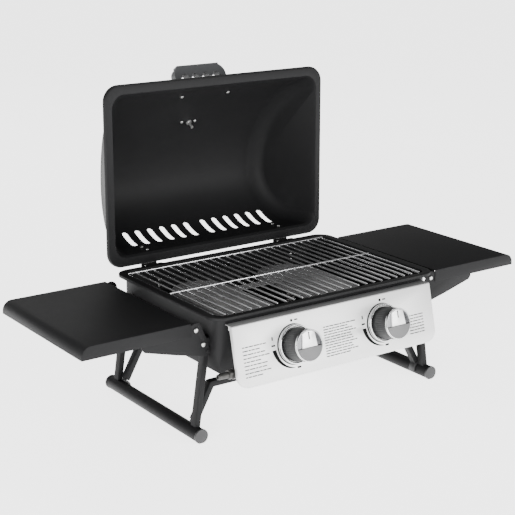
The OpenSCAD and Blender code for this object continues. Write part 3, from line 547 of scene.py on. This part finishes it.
bmesh.ops.translate(bm, vec=(2 * wall_x, 0, 0), verts=far)
for x in (-wall_x, wall_x):
    rim = [e for e in bm.edges if all(abs(v.co.x - x) < 1e-6 for v in e.verts)]
    bmesh.ops.contextual_create(bm, geom=rim)
bmesh.ops.recalc_face_normals(bm, faces=bm.faces[:])
crease = [e for e in bm.edges if len(e.link_faces) == 2
          and abs(abs(e.verts[0].co.x) - wall_x) < 1e-6
          and abs(e.verts[0].co.x - e.verts[1].co.x) < 1e-6]
bmesh.ops.bevel(bm, geom=crease, offset=crease_r, offset_type="OFFSET", segments=12, profile=0.5,
                affect="EDGES", material=-1, clamp_overlap=False)
for v in bm.verts:
    v.co.x -= (1 if v.co.x > 0 else -1) * draft * (v.co.z - flange_z)
foot = [e for e in bm.edges if len(e.link_faces) == 1]
home = {v: v.co.copy() for e in foot for v in e.verts}
for inset, height in ((None, 0), (0.0035, 0), (0.001, 0.001), (0, 0.0035), (0, lip_h)):
    grown = bmesh.ops.extrude_edge_only(bm, edges=foot)
    fresh = {}
    for v in (g for g in grown["geom"] if isinstance(g, bmesh.types.BMVert)):
        below = next(e.other_vert(v) for e in v.link_edges if e.other_vert(v) in home)
        fresh[v] = home[below]
        if inset is None:
            out = (flange_point(fresh[v], 0, 0).xy - fresh[v].xy).normalized()
            v.co = (*(fresh[v].xy + out * foot_h * 0.8), flange_z)
        else:
            v.co = flange_point(fresh[v], inset, height)
    home = fresh
    foot = [g for g in grown["geom"] if isinstance(g, bmesh.types.BMEdge)]
bmesh.ops.remove_doubles(bm, verts=bm.verts[:], dist=0.000005)
bmesh.ops.recalc_face_normals(bm, faces=bm.faces[:])
crown = max(bm.faces, key=lambda f: f.calc_center_median().z)
if crown.normal.z < 0:
    bmesh.ops.reverse_faces(bm, faces=bm.faces[:])
shell = finished("lid_shell_formed", bm, black_coat, smooth=60)

bm = bmesh.new()
slot_low, slot_high, slot_w, slot_pitch, slot_first = 0.0525, 0.1005, 0.012, 0.0284, 0.020
slot_start, slot_reach = 0.06, 0.09
slots_each_side = 6
upright = Matrix.Rotation(radians(90), 3, "X")
for sign in (-1, 1):
    for i in range(slots_each_side):
        made = bmesh.ops.create_circle(bm, cap_ends=True, segments=32, radius=slot_w / 2)
        for v in made["verts"]:
            v.co.y += (slot_high - slot_low - slot_w) / 2 * (1 if v.co.y > 0 else -1)
        spot = (sign * (slot_first + slot_pitch * i), barrel_y + slot_start,
                flange_z + (slot_low + slot_high) / 2)
        bmesh.ops.rotate(bm, cent=(0, 0, 0), matrix=upright, verts=made["verts"])
        bmesh.ops.translate(bm, vec=spot, verts=made["verts"])
grown = bmesh.ops.extrude_face_region(bm, geom=bm.faces[:])
bmesh.ops.translate(bm, vec=(0, slot_reach, 0),
                    verts=[v for v in grown["geom"] if isinstance(v, bmesh.types.BMVert)])
bmesh.ops.recalc_face_normals(bm, faces=bm.faces[:])
cutters = finished("slot_cutters", bm, black_coat)
wall = shell.modifiers.new("sheet", "SOLIDIFY")
wall.thickness = lid_sheet
wall.offset = -1
cut = shell.modifiers.new("slots", "BOOLEAN")
cut.operation = "DIFFERENCE"
cut.solver = "EXACT"
cut.object = cutters
bpy.context.view_layer.update()
pressed = bpy.data.meshes.new_from_object(shell.evaluated_get(bpy.context.evaluated_depsgraph_get()))
bpy.data.objects.remove(cutters)
bpy.data.objects.remove(shell)
bm = bmesh.new()
bm.from_mesh(pressed)
bmesh.ops.transform(bm, matrix=open_lid, verts=bm.verts[:])
finished("lid_shell_pressed", bm, black_coat, "lid", ("lid_shell",), smooth=32)

# ---------------------------------------------------------------------------
# The lid's handle, hinges and thermometer.
# A scalloped plastic grip and a dial thermometer are screwed on from inside; two
# folded steel hinges turn on plain steel pins.
# ---------------------------------------------------------------------------
handle_plastic = Finish("handle_plastic", (0.06, 0.062, 0.065), 0.5)
handle_grain = handle_plastic.noise(1000, 2.0)
handle_plastic.feed("Roughness", 0.42 + handle_grain * 0.16)
handle_plastic.bump(handle_grain, 0.25, 0.0003)
eased("lid_handle", handle_plastic, 0.0024, 4, 50)

screw_steel = Finish("zinc_plated_steel", (0.5, 0.5, 0.49), 0.3, 1.0)
screw_cloud = screw_steel.noise(300, 3.0)
screw_steel.feed("Base Color", screw_steel.tint(screw_cloud, (0.42, 0.42, 0.41), (0.6, 0.6, 0.59)))
screw_steel.feed("Roughness", 0.24 + screw_cloud * 0.16)
for node in ("handle_screws", "upper_hinge_screws", "lower_hinge_screws", "hinge_pins", "gusset_screws",
             "shelf_pivot_screws", "panel_screws", "valve_screws", "thermometer_screws",
             "thermometer_nut", "valve_stem_left", "valve_stem_right"):
    eased(node, screw_steel, 0.0002, 2)

for node in ("upper_hinges", "lower_hinges", "leg_pivot_pins"):
    eased(node, black_coat, 0.0005, 2)

eased("thermometer_case", chrome, 0.0005, 3)
dial_white = Finish("dial_white", (0.82, 0.82, 0.8), 0.5)
dial_white.feed("Roughness", 0.45 + dial_white.noise(400) * 0.1)
eased("thermometer_dial", dial_white, 0.0001, 1)
needle_red = Finish("needle_red", (0.5, 0.02, 0.015), 0.4)
needle_red.feed("Roughness", 0.35 + needle_red.noise(500) * 0.1)
eased("thermometer_needle", needle_red, 0.0001, 1)
gauge_glass = Finish("gauge_glass", (0.95, 0.97, 0.97), 0.03, 0.0, Alpha=0.12)
gauge_glass.feed("Roughness", 0.02 + gauge_glass.noise(60) * 0.02)
eased("thermometer_glass", gauge_glass, 0.0002, 2)

# ---------------------------------------------------------------------------
# The grate.
# Straight chromed wires, cut square with their edges rounded off, and two thinner
# cross wires welded on top of them.
# ---------------------------------------------------------------------------
grate_chrome = Finish("grate_chrome", (0.78, 0.78, 0.79), 0.25, 0.9)
wire_cloud = grate_chrome.noise(90, 3.0)
grate_chrome.feed("Roughness", 0.16 + wire_cloud * 0.14)
low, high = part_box("grate")
wires, wire_r, cross_r = 26, 0.0018, 0.0015
wire_x = 0.230
corner_tuck = 0.0065
cross_y = (0.002, 0.152)
cross_half = 0.231
wire_z = low.z + wire_r
cross_z = high.z - cross_r


def wire(bm, middle, half, radius, axis):
    """One straight wire along Y (turned about X) or along X (turned about Y)."""
    lie = Matrix.Translation(middle) @ Matrix.Rotation(radians(90), 4, axis)
    made = bmesh.ops.create_cone(bm, cap_ends=True, segments=14, radius1=radius, radius2=radius,
                                 depth=2 * half, matrix=lie)
    ends = {e for v in made["verts"] for e in v.link_edges
            if any(len(f.verts) > 4 for f in e.link_faces)}
    bmesh.ops.bevel(bm, geom=list(ends), offset=radius * 0.5, offset_type="OFFSET", segments=3,
                    profile=0.5, affect="EDGES", material=-1)


tub_low, tub_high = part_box("tub")
tub_mid = (tub_low.y + tub_high.y) / 2
bm = bmesh.new()
for i in range(wires):
    x = -wire_x + 2 * wire_x * i / (wires - 1)
    tuck = corner_tuck if i in (0, wires - 1) else 0
    back = high.y - tuck
    wire(bm, (x, (low.y + back) / 2, wire_z), (back - low.y) / 2, wire_r, "X")
for y in cross_y:
    wire(bm, (0, tub_mid + y, cross_z), cross_half, cross_r, "Y")
finished("grate_wires", bm, grate_chrome, "grate", ("grate",), smooth=50)

# ---------------------------------------------------------------------------
# Side rails, gussets and flip-up shelves.
# Box rails on the tub's sides carry plate gussets; each shelf is a folded steel tray
# with a rolled outer edge that hangs on two pivot screws.
# ---------------------------------------------------------------------------
for side in ("left", "right"):
    eased(f"side_rail_{side}", black_coat, 0.0008, 2)
    eased(f"gussets_{side}", black_coat, 0.0005, 2)
    eased(f"shelf_{side}", black_coat, 0.0006, 2)

# ---------------------------------------------------------------------------
# Folding legs and base.
# Tubular feet with moulded caps hang on two box-section posts a side; braces under
# the tub reach down to plastic cradles that the feet rest in.
# ---------------------------------------------------------------------------
black_plastic = Finish("black_moulded_plastic", (0.02, 0.02, 0.021), 0.45)
mould_grain = black_plastic.noise(1100, 2.0)
black_plastic.feed("Roughness", 0.38 + mould_grain * 0.16)
black_plastic.bump(mould_grain, 0.2, 0.0002)
for side in ("left", "right"):
    eased(f"leg_{side}", black_coat, 0.0012, 3)
    eased(f"foot_caps_{side}", black_plastic, 0.0008, 3)
for node in ("base_brace_front", "base_brace_rear", "brace_hangers"):
    eased(node, black_coat, 0.0008, 2)
eased("brace_pads", black_plastic, 0.0005, 2)

# ---------------------------------------------------------------------------
# The grease tray.
# A shallow pressed tray hangs by its flanges on two runners under the tub.
# ---------------------------------------------------------------------------
eased("tray_runners", black_coat, 0.0003, 1)
tray_sheet = Finish("tray_sheet", (0.5, 0.5, 0.5), 0.4, 1.0)
tray_roll = tray_sheet.noise(350, 2.0, tray_sheet.place((1, 0.05, 1)))
tray_sheet.feed("Roughness", 0.34 + tray_roll * 0.16)
eased("grease_tray", tray_sheet, 0.0004, 2)
